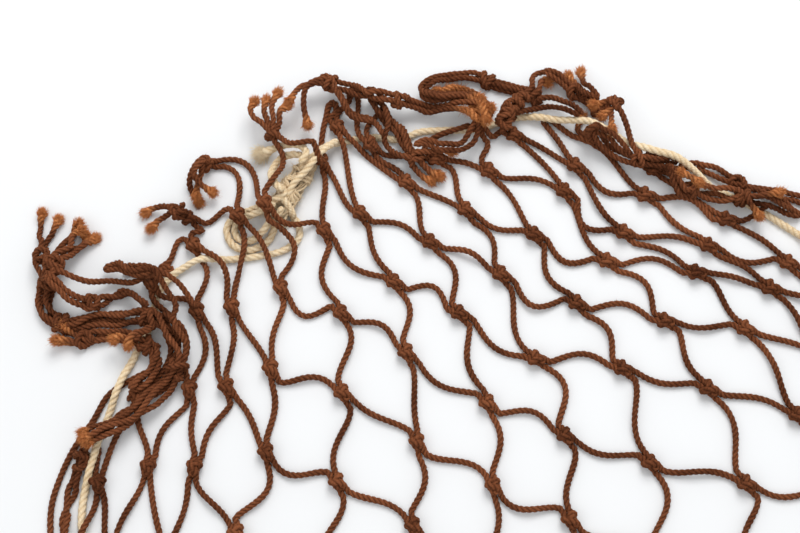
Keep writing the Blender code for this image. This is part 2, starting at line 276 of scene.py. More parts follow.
# Single twines that belong to a gather and part from it: which ends are frayed, the route.
LOOPS = {
    "tassel_hook": [("end", [(-138, 158), (-143, 152), (-142, 147), (-138, 144), (-134, 142)])],
    "hank_left": [
        ("", [(-170, 101), (-162, 100), (-150, 94), (-143, 86), (-140, 81)]),
        ("", [(-168, 99), (-160, 98), (-154, 89), (-149, 81), (-151, 72)]),
    ],
    "tassel_fan_left": [
        ("end", [(-105, 171), (-110, 177), (-114, 180), (-116, 185), (-114, 190)]),
        ("end", [(-105, 172), (-107, 178), (-109, 184), (-108, 191)]),
    ],
    "tassel_fan_right": [
        ("end", [(-104, 171), (-104, 179), (-105, 186), (-102, 194)]),
        ("end", [(-103, 170), (-101, 177), (-101, 183), (-97, 187)]),
    ],
    "gather_top_left": [
        ("start", [(-87, 178), (-89, 187), (-88, 196), (-82, 200)]),
        ("", [(-72, 197), (-69, 192), (-66, 187), (-61, 184), (-56, 183), (-51, 177), (-49, 172)]),
        ("", [(-75, 199), (-70, 191), (-66, 184), (-60, 181), (-54, 179)]),
    ],
    "gather_top_loop": [
        ("", [(30, 193), (39, 194), (46, 190), (50, 186), (53, 182)]),
        ("", [(17, 184), (25, 187), (34, 189), (41, 187), (48, 183), (51, 181)]),
    ],
    "gather_right": [("end", [(64, 190), (67, 184), (67, 178), (67, 172)])],
    "gather_right_outer": [
        ("both", [(100, 150), (105, 148), (110, 145)]),
        ("end", [(138, 138), (145, 139), (150, 140)]),
    ],
    "gather_over_rope": [
        ("", [(-48, 189), (-46, 179), (-48, 172), (-46, 167), (-41, 162), (-34, 159)]),
        ("end", [(-33, 162), (-26, 163), (-19, 164), (-13, 164)]),
    ],
}
TIGHT = ("gather_left", "gather_over_rope")  # bundles that don't spread at their frayed ends
SEPARATE = ("tassel_fan_left", "tassel_fan_right")  # gathers that are nothing but single twines

# The twines that lie free on their own, and the gathers that the rope lies on.
FREE_TWINES = ("strand_left_long", "strand_low_left", "strand_right")
UNDER_ROPE = ("strand_low_left", "gather_right_low", "strand_right_outer")

# How far the orange of a frayed end reaches, mm, where it isn't the usual.
TIP_LENGTHS = {"tail_top_loop": 26.0, "gather_top_left": 19.0, "gather_left": 5.0}

# How far a bundle's twines lie from its middle, by their number, in twine diameters.
BUNDLED = {1: 0.0, 2: 0.55, 3: 0.68, 4: 0.85}

# Ends of rows that are tied in among the gathers rather than cut off past the rope.
TIED_IN = {
    (-4, "start"): (-178, 101), (-4, "end"): (-48, 192),
    (-3, "start"): (-160, 75), (-3, "end"): (-4, 180),
    (-2, "start"): (-172, 36), (-2, "end"): (20, 184),
    (-1, "start"): (-184, 14),
    (0, "start"): (-194, -38), (0, "end"): (95, 160),
    (1, "end"): (100, 156),
    (2, "end"): (147, 137),
}

# The places, as knot and level, where a twine turns without a knot. The knots that lie turned,
# with the direction in which their lower bars leave.
PASSED = {(-4, -4), (0, -4), (1, -4), (6, -1)}
TURNED = {(-2, -4): (1.0, 0.25)}

# How far the two bars below a knot bulge, in mm: the left one, then the right one. Plus is to
# the left as one looks from the knot down the bar.
SWAYS = {
    (-2, -4): (2.5, 5), (-1, -4): (4, -3),
    (-3, -3): (3, 4), (-2, -3): (0, 1.5), (-1, -3): (9, -3),
    (-3, -2): (3, 2), (-2, -2): (2, 0), (-1, -2): (-2, -6.5), (0, -2): (-6, -5),
    (1, -2): (-3, 3.5),
    (-3, -1): (-4, -2), (-2, -1): (-4, 1), (-1, -1): (2, 3), (0, -1): (1.5, 4.5),
    (1, -1): (2.5, 7), (2, -1): (4.5, 2.5), (3, -1): (4, -3), (4, -1): (1, 1),
    (-2, 0): (2.5, 0.5), (-1, 0): (4.5, -3), (0, 0): (-2, -2), (1, 0): (-1.5, -5),
    (2, 0): (-6, -4.5), (3, 0): (-2, -9), (4, 0): (-6, -7), (5, 0): (-1.5, -8), (6, 0): (-2, -5),
    (0, 1): (0, 1), (1, 1): (4, 1.5), (2, 1): (2.5, 5.5), (3, 1): (5, 4.5), (4, 1): (5, 6),
    (5, 1): (6, 5.5), (6, 1): (3, 1.5), (7, 1): (-3, 5),
    (2, 2): (2, -3), (3, 2): (-1.5, -3.5), (4, 2): (-3.5, -3.5), (5, 2): (-3, -3), (6, 2): (-1, 0),
    (7, 2): (1, -5),
    (4, 3): (4, 1), (5, 3): (3, 2), (6, 3): (1, 0), (5, 4): (-4, -3),
}

rng = np.random.default_rng(7)
KNOTS = {(first + n, level): np.array([*place, 0.0])
         for level, (first, places) in LEVELS.items() for n, place in enumerate(places)}

# The centre line and the radius of each cord that lies there already.
laid = []


# Paths ----------------


def unit(vectors):
    return vectors / np.linalg.norm(vectors, axis=-1, keepdims=True)


def distances(path):
    """How far along the path each of its points is."""
    return np.concatenate([[0.0], np.cumsum(np.linalg.norm(np.diff(path, axis=0), axis=1))])


def resampled(path, spacing):
    """The path with evenly spaced points."""
    along = distances(path)
    wanted = np.linspace(0, along[-1], max(2, round(along[-1] / spacing)) + 1)
    return np.stack([np.interp(wanted, along, path[:, k]) for k in range(3)], axis=1)


def smooth(route, spacing):
    """A smooth curve through the route's points, evenly sampled."""
    route = np.array([(*point, 0.0)[:3] for point in route], float)
    ahead = np.vstack([2 * route[0] - route[1], route, 2 * route[-1] - route[-2]])
    t = np.linspace(0, 1, 13)[1:, None]
    found = [route[:1]]
    for before, start, end, after in zip(ahead, ahead[1:], ahead[2:], ahead[3:]):
        bend = 2 * before - 5 * start + 4 * end - after
        twist = 3 * start - before - 3 * end + after
        found.append(start + ((end - before) * t + bend * t**2 + twist * t**3) / 2)
    return resampled(np.vstack(found), spacing)


def frames(path):
    """The path's direction and two normals at each point, carried along without twist."""
    ahead = unit(np.gradient(path, axis=0))
    helper = (0.0, 0.0, 1.0) if abs(ahead[0, 2]) < 0.9 else (1.0, 0.0, 0.0)
    normal = [unit(np.cross(ahead[0], helper))]
    for direction in ahead[1:]:
        turned = normal[-1] - direction * (normal[-1] @ direction)
        normal.append(turned / np.linalg.norm(turned))
    normal = np.array(normal)
    return ahead, normal, np.cross(ahead, normal)


def wander(count, size, reach):
    """A random line of that many values, with a bend at about every reach of them."""
    knots = rng.normal(0, size, max(4, int(count / reach) + 4))
    return np.interp(np.arange(count), np.linspace(0, count, len(knots)), knots)


def eased(heights, spacing, slope):
    """Raises the heights so that none climbs more steeply than slope, then rounds them off."""
    out = heights.copy()
    for n in range(1, len(out)):
        out[n] = max(out[n], out[n - 1] - slope * spacing)
    for n in range(len(out) - 2, -1, -1):
        out[n] = max(out[n], out[n + 1] - slope * spacing)
    half = max(1, round(ROUNDED / spacing))
    padded = np.pad(out, 2 * half, mode="edge")
    widest = np.array([padded[n : n + 2 * half + 1].max() for n in range(len(out) + 2 * half)])
    return np.array([widest[n : n + 2 * half + 1].mean() for n in range(len(out))])


def height_over(points, radius, others, other_radii):
    """How high a cord of this radius has to pass over the others at each of the points."""
    need = np.full(len(points), float(radius))
    batch = 2000
    for start in range(0, len(others), batch):
        part, radii = others[start : start + batch], other_radii[start : start + batch]
        reach = radius + radii + CLEAR
        apart = np.linalg.norm(points[:, None, :2] - part[None, :, :2], axis=2)
        rise = np.sqrt(np.maximum(reach**2 - apart**2, 0))
        need = np.maximum(need, np.where(apart < reach, part[:, 2] + rise, 0).max(axis=1))
    return need


def stacked(cords):
    """All points of several cords' centre lines, and the cord's radius at each of them."""
    points = np.vstack([path for path, _ in cords])
    return points, np.concatenate([np.full(len(path), float(radius)) for path, radius in cords])


def lay_down(route, radius):
    """A cord's path over all that lies there already. Where much lies there, it sinks in."""
    path = smooth(route, FINE)
    high = eased(height_over(path, radius, *stacked(laid)), FINE, STEEPEST)
    path[:, 2] = np.where(high < SINKS_FROM, high, SINKS_FROM + SINKS_TO * (high - SINKS_FROM))
    return path


def with_reaches(name, route):
    """A route with what it has past its solid's ends."""
    before, after = REACHES.get(name, ([], []))
    return before + route + after


# Mesh making ----------------


class Heap:
    """Points, faces and their colour and UV layers, gathered for one mesh."""

    def __init__(self):
        self.points, self.faces, self.tints, self.uvs, self.count = [], [], [], [], 0

    def add(self, points, faces, tints, uvs):
        self.points.append(points)
        self.faces += [[corner + self.count for corner in face] for face in faces]
        self.tints.append(tints)
        self.uvs += uvs
        self.count += len(points)

    def cord(self, path, diameter, lay, start_tip=0.0, end_tip=0.0, sides=18, flare=0.0, girth=1,
             depth=1.0):
        """Three strands twisted together along the path, closed at both ends.

        The tips are the lengths of the orange at its ends, and flare is how much they swell.
        Girth is its width over its diameter, and depth how deep its grooves are.
        """
        along = distances(path)
        _, normal, side = frames(path)
        turn = 2 * math.pi * along / lay + rng.uniform(0, 6)
        turn += wander(len(path), 0.25, 12)
        phase = np.arange(sides) / sides * 2 * math.pi
        local = phase % (2 * math.pi / 3) - math.pi / 3
        reach = np.sqrt(STRAND_RADIUS**2 - (STRAND_OFFSET * np.sin(local)) ** 2)
        shape = 1 - depth * (1 - (STRAND_OFFSET * np.cos(local) + reach))
        swell = girth * (1 + wander(len(path), 0.035, 7))
        rounded_end = 1.8
        from_end = np.minimum(along, along[-1] - along)
        swell = swell * np.sqrt(np.clip(from_end / rounded_end, 0.12, 1))
        tip = np.zeros(len(path))
        for length, distance in ((start_tip, along), (end_tip, along[-1] - along)):
            if length:
                tip = np.maximum(tip, np.clip(1.5 - 1.5 * distance / length, 0, 1))
        swell = swell * (1 + flare * np.clip(tip * 1.5 - 0.5, 0, 1))
        angle = phase[None] + turn[:, None]
        radius = diameter / 2 * shape[None] * swell[:, None]
        ring = path[:, None] + radius[..., None] * (
            np.cos(angle)[..., None] * normal[:, None] + np.sin(angle)[..., None] * side[:, None]
        )
        # Red is each point's height on its strand, which the material turns into painted shade in
        # the grooves; the caps' middles get the full painted shade.
        height = (shape - shape.min()) / (shape.max() - shape.min())
        tints = np.zeros((len(path), sides, 4))
        tints[..., 0] = height[None]
        tints[..., 1] = tip[:, None]
        tints[..., 2] = rng.uniform()
        points = np.vstack([ring.reshape(-1, 3), path[:1], path[-1:]])
        ends = [[0, tip[0], 0, 0], [0, tip[-1], 0, 0]]
        tints = np.vstack([tints.reshape(-1, 4), ends])
        faces, uvs = [], []
        first_cap, last_cap, last = len(points) - 2, len(points) - 1, (len(path) - 1) * sides
        for n in range(len(path) - 1):
            low, high = along[n], along[n + 1]
            here, above = n * sides, (n + 1) * sides
            for k in range(sides):
                after = (k + 1) % sides
                faces.append([here + k, here + after, above + after, above + k])
                u, v = k / sides, (k + 1) / sides
                uvs += [(u, low), (v, low), (v, high), (u, high)]
        for k in range(sides):
            after = (k + 1) % sides
            faces.append([first_cap, after, k])
            faces.append([last_cap, last + k, last + after])
            uvs += [(0, 0)] * 6
        self.add(points, faces, tints, uvs)

    def fibres(self, roots, aims, lengths, thickness, tip, curl=0.5):
        """Thin loose fibres: four three-sided rings each, tapering, bent a random way.

        Tip is how orange they are, and curl how much they bend.
        """
        count = len(roots)
        if not count:
            return
        aims = unit(aims)
        bend = unit(rng.normal(size=(count, 3))) * curl
        across = unit(np.cross(aims, rng.normal(size=(count, 3))))
        other = np.cross(aims, across)
        rings = []
        for t, girth in ((0.0, 1.0), (0.35, 0.9), (0.7, 0.7), (1.0, 0.35)):
            middle = roots + (aims * t + bend * t * t) * lengths[:, None]
            for k in range(3):
                turn = 2 * math.pi * k / 3
                out = across * math.cos(turn) + other * math.sin(turn)
                rings.append(middle + out * (girth * thickness / 2))
        points = np.stack(rings, axis=1).reshape(-1, 3)
        points[:, 2] = np.maximum(points[:, 2], 0.05)
        each = len(rings)
        tints = np.zeros((len(points), 4))
        # Fibres stand at full height, so they get no painted groove shade.
        tints[:, 0] = 1
        tints[:, 1] = tip
        tints[:, 2] = np.repeat(rng.uniform(size=count), each)
        pattern = [[0, 2, 1], [each - 3, each - 2, each - 1]]
        for n in range(0, each - 3, 3):
            pattern += [[n + k, n + (k + 1) % 3, n + 3 + (k + 1) % 3, n + 3 + k] for k in range(3)]
        faces = [[each * n + corner for corner in face] for n in range(count) for face in pattern]
        self.add(points, faces, tints, [(0.5, 0.0)] * sum(map(len, faces)))

    def fuzz(self, path, diameter, spacing, length, thickness, tip=0.0):
        """Loose fibres that stand off a cord all along it."""
        ahead, normal, side = frames(path)
        picked = rng.integers(0, len(path), int(distances(path)[-1] / spacing))
        turn = rng.uniform(0, 2 * math.pi, len(picked))
        out = np.cos(turn)[:, None] * normal[picked] + np.sin(turn)[:, None] * side[picked]
        lean = rng.normal(0, 1.0, len(picked))[:, None] * ahead[picked]
        lengths = length * rng.uniform(0.4, 1.3, len(picked))
        self.fibres(path[picked] + out * diameter * 0.4, out + lean, lengths, thickness, tip)

    def brush(self, end, aim, diameter, length, count, thickness):
        """A brush of fibres at the frayed end of a cord."""
        aim = unit(np.array(aim, float))
        spread = rng.normal(0, 1, (count, 3))
        spread /= np.maximum(np.linalg.norm(spread, axis=1, keepdims=True) / 1.6, 1)
        roots = end + spread * diameter * 0.24 - aim * rng.uniform(0.5, 2.5, (count, 1))
        aims = aim + spread * 0.42
        self.fibres(roots, aims, length * rng.uniform(0.7, 1.1, count), thickness, 1.0, 0.4)

    def frayed_twine(self, path):
        """Both brushes at the end of a twine: one dense and short, one loose and longer."""
        end, aim = path[-1], path[-1] - path[-5]
        self.brush(end, aim, TWINE * 1.5, 2.3, 300, 0.36)
        self.brush(end, aim, TWINE * 1.6, 3.0, 90, 0.15)

    def frayed_rope(self, path):
        """The same for the rope, whose fibres are longer."""
        end, aim = path[-1], path[-1] - path[-5]
        self.brush(end, aim, ROPE * 1.3, 5.0, 520, 0.3)
        self.brush(end, aim, ROPE * 1.6, 6.0, 160, 0.14)

    def build(self, name, look):
        """The heap as one object in the frame's metres, with nothing below the floor."""
        mesh = bpy.data.meshes.new(name)
        points = np.vstack(self.points)
        points[:, 2] = np.maximum(points[:, 2], 0.03)
        points = (points - ORIGIN) * MM
        mesh.from_pydata(points.tolist(), [], self.faces)
        mesh.polygons.foreach_set("use_smooth", [True] * len(mesh.polygons))
        tint = mesh.color_attributes.new("tint", "FLOAT_COLOR", "POINT")
        tint.data.foreach_set("color", np.vstack(self.tints).ravel())
        layer = mesh.uv_layers.new(name="UVMap")
        layer.data.foreach_set("uv", np.array(self.uvs, float).ravel())
        mesh.materials.append(look)
        piece = bpy.data.objects.new(name, mesh)
        bpy.context.scene.collection.objects.link(piece)
        return piece


# Materials ----------------


def cord_material(name, dark, light, tip_dark, tip_light, groove_shade, yarns, roughness, sheen):
    """Matt fibre: with painted shade in the grooves, mottled by the dye, and paler where frayed.

    The colour given for the grooves is painted shade, what the colour is multiplied by between
    the strands, and yarns is how closely the fine ridges lie round a cord and along it.
    """
    look = bpy.data.materials.new(name)
    look.use_nodes = True
    nodes, links = look.node_tree.nodes, look.node_tree.links

    def fill(node, inputs):
        """Gives each named input its value, or a link to the output given for it."""
        for key, value in inputs.items():
            if isinstance(value, bpy.types.NodeSocket):
                links.new(value, node.inputs[key])
            else:
                node.inputs[key].default_value = value

    def add(kind, inputs, **settings):
        node = nodes.new(kind)
        for setting, value in settings.items():
            setattr(node, setting, value)
        fill(node, inputs)
        return node

    def noise(scale, detail, low, high):
        spots = add("ShaderNodeTexNoise", {"Vector": place, "Scale": scale, "Detail": detail})
        spread = {"From Min": 0.3, "From Max": 0.7, "To Min": low, "To Max": high}
        spread["Value"] = spots.outputs["Fac"]
        return add("ShaderNodeMapRange", spread).outputs["Result"]

    def mix(kind, factor, first, second):
        inputs = {0: factor, 6: first, 7: second}
        return add("ShaderNodeMix", inputs, data_type="RGBA", blend_type=kind).outputs[2]

    def maths(kind, first, second):
        return add("ShaderNodeMath", {0: first, 1: second}, operation=kind).outputs[0]

    coords = add("ShaderNodeTexCoord", {})
    place = coords.outputs["Object"]
    tint = add("ShaderNodeVertexColor", {}, layer_name="tint")
    parts = add("ShaderNodeSeparateColor", {"Color": tint.outputs["Color"]})
    height, tip, own = parts.outputs["Red"], parts.outputs["Green"], parts.outputs["Blue"]

    mottle = maths("ADD", noise(45, 3, 0.0, 0.6), maths("MULTIPLY", noise(900, 2, 0.0, 1.0), 0.4))
    mottle = maths("ADD", mottle, maths("MULTIPLY", maths("SUBTRACT", own, 0.5), 0.25))
    body = mix("MIX", mottle, (*dark, 1), (*light, 1))
    frayed = mix("MIX", noise(700, 2, 0.0, 1.0), (*tip_dark, 1), (*tip_light, 1))
    dyed = mix("MIX", maths("POWER", tip, 1.3), body, frayed)
    # Painted shade: darker where a point lies low between the strands, lighter on top of each
    # strand.
    shade = mix("MIX", maths("POWER", height, 0.6), (*groove_shade, 1), (1, 1, 1, 1))

    spin = add("ShaderNodeMapping", {"Vector": coords.outputs["UV"], "Scale": (*yarns, 1)})
    ridges = {"Vector": spin.outputs["Vector"], "Scale": 1.0, "Distortion": 1.5, "Detail": 2}
    ridges["Detail Scale"] = 2.5
    wave = add("ShaderNodeTexWave", ridges, wave_type="BANDS", bands_direction="DIAGONAL")
    relief = maths("ADD", wave.outputs["Fac"], noise(2500, 3, 0.0, 0.8))
    ridge = add("ShaderNodeBump", {"Strength": 0.6, "Distance": 0.00025, "Height": relief})
    fill(nodes["Principled BSDF"], {
        "Base Color": mix("MULTIPLY", 1.0, dyed, shade), "Normal": ridge.outputs["Normal"],
        "Roughness": roughness, "Specular IOR Level": 0.1,
        "Sheen Weight": sheen, "Sheen Roughness": 0.6, "Sheen Tint": (*tip_light, 1),
    })
    return look


def floor_material():
    look = bpy.data.materials.new("white_paper")
    look.use_nodes = True
    shader = look.node_tree.nodes["Principled BSDF"]
    shader.inputs["Base Color"].default_value = (0.80, 0.807, 0.812, 1)
    shader.inputs["Roughness"].default_value = 0.7
    return look


# Netting ----------------


def down_at(knot, level):
    """The direction from the level above to the level below at a knot."""
    if (knot, level) in TURNED:
        return unit(np.array([*TURNED[knot, level], 0.0]))
    above = [KNOTS[key] for key in ((knot - 1, level - 1), (knot, level - 1)) if key in KNOTS]
    below = [KNOTS[key] for key in ((knot, level + 1), (knot + 1, level + 1)) if key in KNOTS]
    top = np.mean(above, axis=0) if above else KNOTS[knot, level]
    bottom = np.mean(below, axis=0) if below else KNOTS[knot, level]
    return unit(bottom - top)


def row_knots(row):
    """The knots of a row from left to right, as far as its zigzag goes unbroken."""
    across = {2 * knot - level: (knot, level) for knot, level in KNOTS if level in (row, row + 1)}
    place = min(across)
    while place + 1 not in across:
        place += 2
    found = []
    while place in across:
        found.append(across[place])
        place += 1
    return found


def through_knot(template, key, size, lean):
    """A twine's route through one knot, in place, with the knot a little larger and turned."""
    down = down_at(*key)
    turned = math.cos(lean) * down + math.sin(lean) * np.array([-down[1], down[0], 0.0])
    right = np.array([-turned[1], turned[0], 0.0])
    route = np.array(template)
    middle = KNOTS[key] + 0.6 * down
    across = route[:, :1] * (TWINE * size) * right
    back = route[:, 1:2] * (TWINE * size) * turned
    up = route[:, 2:] * TWINE * (0, 0, 1)
    return middle + across - back + up


def bar(start, start_aim, end, end_aim, hump, sway):
    """The free length between two knots: an S that leaves and meets both nearly as they aim.

    Hump is how far its middle stands off the floor, and sway how far it bulges to the left.
    """
    length = np.linalg.norm(end - start)
    spacing = 2.5
    t = np.linspace(0, 1, max(4, round(length / spacing)))[1:-1, None]
    chord = (end - start) / length
    pull = [unit(0.62 * unit(aim) + 0.38 * chord) * length * 1.05 for aim in (start_aim, end_aim)]
    points = (
        (2 * t**3 - 3 * t**2 + 1) * start
        + (t**3 - 2 * t**2 + t) * pull[0]
        + (3 * t**2 - 2 * t**3) * end
        + (t**3 - t**2) * pull[1]
    )
    points[:, 2] = np.maximum(points[:, 2], TWINE / 2) + hump * np.sin(math.pi * t[:, 0]) ** 2
    points += sway * np.sin(math.pi * t) * np.array([-chord[1], chord[0], 0.0])
    return points


def cut_end(leg, row, which):
    """Where a twine that leaves its last knot at this leg ends: tied in, or past the rope."""
    if (row, which) in TIED_IN:
        return np.array([*TIED_IN[row, which], TWINE / 2])
    plan = leg[:2]
    gaps = [np.linalg.norm(np.array(point) - plan) for point in ROPE_ROUTE]
    rope = np.array(ROPE_ROUTE[int(np.argmin(gaps))], float)
    if np.linalg.norm(rope) < np.linalg.norm(plan) + ROPE:
        end = plan + unit(plan) * TAIL
    else:
        end = rope + unit(rope - plan) * TAIL
    return np.array([*end, TWINE / 2])


def row_path(row, habits):
    """The whole centre line of a row's twine, cut ends included."""
    keys = row_knots(row)
    stretches = []
    for key in keys:
        if key in PASSED:
            template = PASS
        elif key[1] == row:
            template = BEND
        else:
            template = BIGHT if row < LAST_ROW else TURN_AT_EDGE
        stretches.append(through_knot(template, key, *habits[key]))
    first, last = stretches[0], stretches[-1]
    start, end = cut_end(first[0], row, "start"), cut_end(last[-1], row, "end")
    points = [start[None], bar(start, first[0] - start, first[0], first[1] - first[0], 0, 0)]
    for key, next_key, stretch, after in zip(keys, keys[1:], stretches, stretches[1:]):
        hump = abs(rng.normal(0, 1.0))
        upper, lower = sorted((key, next_key), key=lambda knot: knot[1])
        sway = SWAYS.get(upper, (0, 0))[lower[0] - upper[0]] * (1 if upper == key else -1)
        points.append(stretch)
        aims = stretch[-1] - stretch[-2], after[1] - after[0]
        points.append(bar(stretch[-1], aims[0], after[0], aims[1], hump, sway))
    points.append(last)
    points.append(bar(last[-1], last[-1] - last[-2], end, end - last[-1], 0, 0))
    points.append(end[None])
    return smooth(np.vstack(points), FINE)


def netting_paths():
    """Every row's centre line. Each knot has its own size and lean."""
    habits = {key: (rng.uniform(0.92, 1.04), rng.normal(0, 0.12)) for key in KNOTS}
    return {row: row_path(row, habits) for row in range(FIRST_ROW, LAST_ROW + 1)}


def net_is_over(place):
    return any(np.linalg.norm(place - middle) < reach for middle, reach in NET_OVER_ROPE)


def crossings(path, rope):
    """The stretches of the path that cross the rope, as lists of point numbers."""
    gaps = np.linalg.norm(path[:, None, :2] - rope[None, ::2, :2], axis=2).min(axis=1)
    near = np.flatnonzero(gaps < NEAR_ROPE)
    return np.split(near, np.flatnonzero(np.diff(near) > 3) + 1) if len(near) else []


def rope_paths():
    """The centre lines of the rope, its bights and its free end, still flat on the floor."""
    paths = {"margin_rope": smooth(ROPE_ROUTE, FINE)}
    for name, route in ROPE_BIGHTS.items():
        paths[name] = smooth(with_reaches(name, route), FINE)
    return paths


def weave(paths, beneath):
    """Lays the ropes over and under the netting, and lifts the netting where it lies over.

    Beneath holds the path and radius of each gather that the ropes lie on.
    """
    lump = np.array([*ROPE_KNOT_PLACE, 3.6]) + np.linspace(-8, 8, 9)[:, None] * ROPE_KNOT_AXIS
    under = [(lump, 5.0), *beneath]
    ropes = rope_paths()
    lifts = {row: np.zeros(len(path)) for row, path in paths.items()}
    for rope in ropes.values():
        netting, over = [], []
        for row, path in paths.items():
            keep = np.ones(len(path), bool)
            for group in crossings(path, rope):
                if net_is_over(path[group].mean(axis=0)[:2]):
                    keep[group] = False
                    over.append((row, group))
            netting.append((path[keep], TWINE / 2))
        need = height_over(rope, ROPE / 2, *stacked(under + netting))
        rope[:, 2] = eased(need, FINE, STEEPEST)
        under.append((rope, ROPE / 2))
        for row, group in over:
            high = height_over(paths[row][group], TWINE / 2, *stacked([(rope, ROPE / 2)]))
            lifts[row][group] = np.maximum(lifts[row][group], high - TWINE / 2)
    for row, path in paths.items():
        path[:, 2] += eased(lifts[row], FINE, STEEPEST_NETTING)
    return ropes


# Pieces ----------------


def finish_piece(piece, slot, *nodes):
    """Puts a piece on the one body, in the place of the solids it shows, which it hides. The slot
    is not used.
    """
    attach(piece, "root")
    if nodes:
        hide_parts(*nodes)


def nodes_of(row):
    """The names of the solids that a row's lengths of twine are in the model."""
    name = f"mesh_row_{row - FIRST_ROW + 1:02d}"
    count = max(1, round(len(row_knots(row)) / KNOTS_PER_LENGTH))
    return [f"{name}_{letter}" for letter in "abc"[:count]] if count > 1 else [name]


def make_row(row, path, twine):
    """One row's twine, a little thicker in its knots."""
    heap = Heap()
    middles = np.array([KNOTS[key] for key in row_knots(row)])
    apart = np.linalg.norm(path[:, None, :2] - middles[None, :, :2], axis=2).min(axis=1)
    knot_reach = 4.0
    girth = PLUMP * (1 + 0.2 * np.exp(-((apart / knot_reach) ** 2)))
    tips = [0.0 if (row, which) in TIED_IN else TIP for which in ENDS]
    heap.cord(path, TWINE, TWINE_LAY, *tips, flare=0.3, girth=girth)
    heap.fuzz(path, TWINE * PLUMP, 1.1, 0.9, 0.09)
    for tip, end in zip(tips, (path[::-1], path)):
        if tip:
            heap.frayed_twine(end)
    nodes = nodes_of(row)
    piece = heap.build(f"netting_{nodes[0][:11]}", twine)
    finish_piece(piece, "net_twine", *nodes)


def lashing(heap, path, share, radius):
    """A lump where a twine is knotted round a bundle: about two slanted turns that cross."""
    _, normal, side = frames(path)
    steps = 50
    middle = min(max(6, int(share * (len(path) - 1))), len(path) - 7)
    turn = np.linspace(0, rng.uniform(3.4, 4.2) * math.pi, steps)
    slant = rng.uniform(2.0, 3.2) * np.where(turn < 2 * math.pi, 1, -1) * np.sin(turn)
    place = np.clip(middle + slant + np.linspace(-1.2, 1.2, steps), 0, len(path) - 1.01)
    first = place.astype(int)
    rest = (place - first)[:, None]
    middles = path[first] * (1 - rest) + path[first + 1] * rest
    reach = (radius + TWINE * 0.12 + wander(steps, 0.3, 8))[:, None]
    turn = turn[:, None] + rng.uniform(0, 6)
    coil = middles + reach * (
        1.1 * np.cos(turn) * normal[middle] + 0.85 * np.sin(turn) * side[middle]
    )
    coil[:, 2] = np.maximum(coil[:, 2], TWINE / 2)
    heap.cord(resampled(coil, 0.9), TWINE * PLUMP, TWINE_LAY)
    heap.fuzz(coil, TWINE * PLUMP, 1.0, 1.0, 0.09)


def bundle(heap, path, count, frayed, tip_length, splay):
    """Twines side by side along one path, each with its own wander and its own cut ends.

    They part by splay at a frayed end, and come together at an end that isn't frayed.
    """
    _, normal, side = frames(path)
    along = distances(path)
    reach = BUNDLED[count] * TWINE
    splayed, joined = 16, 9
    drift = wander(len(path), 0.9, 16)
    for n in range(count):
        turn = 2 * math.pi * n / count + drift + wander(len(path), 0.3, 14)
        out = reach * (1 + np.clip(wander(len(path), 0.35, 12), -0.35, 0.8) * (count > 1))
        for which, distance in zip(ENDS, (along, along[-1] - along)):
            if frayed in (which, "both"):
                out += np.clip(1 - distance / splayed, 0, 1) ** 1.3 * TWINE * splay * (count > 1)
            else:
                out = out * np.sqrt(np.clip(distance / joined, 0.04, 1))
        flat, high = np.cos(turn) * out * 1.15, np.sin(turn) * out * 0.75
        own = path + flat[:, None] * normal + high[:, None] * side
        own += np.stack([wander(len(path), 0.35, 9) for _ in range(3)], axis=1)
        own[:, 2] = np.maximum(own[:, 2], TWINE / 2)
        trims = [int(rng.uniform(0, 5)) if frayed in (which, "both") else 0 for which in ENDS]
        own = smooth(own[trims[0] : len(own) - trims[1] : 3], FINE)
        single_twine(heap, own, frayed, tip_length)


def single_twine(heap, path, frayed, tip_length=TIP):
    """One twine with its fuzz and its frayed ends. A long tip has thick loose fibres besides."""
    tips = [tip_length if frayed in (which, "both") else 0.0 for which in ENDS]
    heap.cord(path, TWINE * PLUMP, TWINE_LAY, *tips, flare=0.35)
    heap.fuzz(path, TWINE * PLUMP, **TWINE_FUZZ)
    for tip, end in zip(tips, (path[::-1], path)):
        if tip:
            heap.frayed_twine(end)
        if tip > LONG_TIP:
            heap.fuzz(end[-int(tip * 0.7 / FINE) :], TWINE * PLUMP, 0.035, 1.8, 0.24, 0.85)


def gather_radius(name):
    """The radius of a gather as a whole, as its solid has it."""
    count = GATHERS[name][0]
    return TWINE / 2 * (math.sqrt(count * 1.25) if count > 1 else 1)


def gather_path(name):
    return lay_down(with_reaches(name, GATHERS[name][-1]), gather_radius(name))


def make_gather(name, path, twine):
    if name in FREE_TWINES:
        make_free_twine(name, path, twine)
    else:
        make_bundle(name, path, twine)


def make_free_twine(name, path, twine):
    """A twine on its own as one cord, with its fuzz as a second piece."""
    frayed = bool(GATHERS[name][1])
    heap, fringe = Heap(), Heap()
    heap.cord(path, TWINE * PLUMP, TWINE_LAY, end_tip=TIP * frayed, flare=0.3)
    fringe.fuzz(path, TWINE * PLUMP, **TWINE_FUZZ)
    if frayed:
        fringe.frayed_twine(path)
    laid.append((path, TWINE / 2))
    piece = heap.build(f"twine_{name}", twine)
    finish_piece(piece, "net_twine", name)
    fuzz = fringe.build(f"fuzz_{name}", twine)
    finish_piece(fuzz, "net_twine")


def make_bundle(name, path, twine):
    """A gather of several twines, the single twines that part from it, and its lashings."""
    count, frayed, lashings, _ = GATHERS[name]
    heap = Heap()
    laid.append((path, gather_radius(name)))
    if name not in SEPARATE:
        splay = -0.25 if name in TIGHT else 0.9
        bundle(heap, path, count, frayed, TIP_LENGTHS.get(name, TIP), splay)
    for ends, route in LOOPS.get(name, []):
        loop = lay_down(route, TWINE / 2)
        single_twine(heap, loop, ends)
        laid.append((loop, TWINE / 2))
    for share in lashings:
        lashing(heap, path, share, gather_radius(name))
    finish_piece(heap.build(f"twine_{name}", twine), "net_twine", name)


